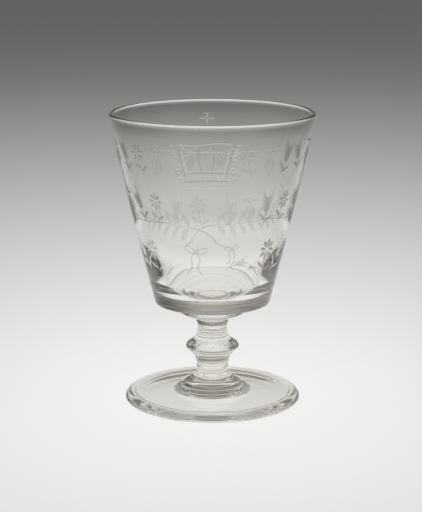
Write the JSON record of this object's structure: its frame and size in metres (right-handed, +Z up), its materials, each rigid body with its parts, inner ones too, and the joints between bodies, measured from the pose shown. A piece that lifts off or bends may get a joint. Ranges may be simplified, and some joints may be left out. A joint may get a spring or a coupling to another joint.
{
  "type": "rummer glass",
  "caption": "Clear drinking glass with an engraved bucket bowl, a short stem with a bladed knop and a thick round foot.",
  "frame": {"origin": "centre of the foot's resting plane", "axes": "+Z up along the glass's axis; the glass is turned round that axis, and -Y is the side that the picture shows nearest"},
  "size_m": [0.0932, 0.0932, 0.1343],
  "materials": {
    "engraved_glass": "clear blown glass, fire polished at the rim, with shallow matt wheel engraving round the outside",
    "clear_glass": "clear tooled glass with a very slight warm tint"
  },
  "bodies": {
    "root": {"bowl": "engraved_glass", "collar": "clear_glass", "upper_neck": "clear_glass", "knop": "clear_glass", "lower_neck": "clear_glass", "foot_pad": "clear_glass", "foot": "clear_glass"}
  },
  "joints": []
}
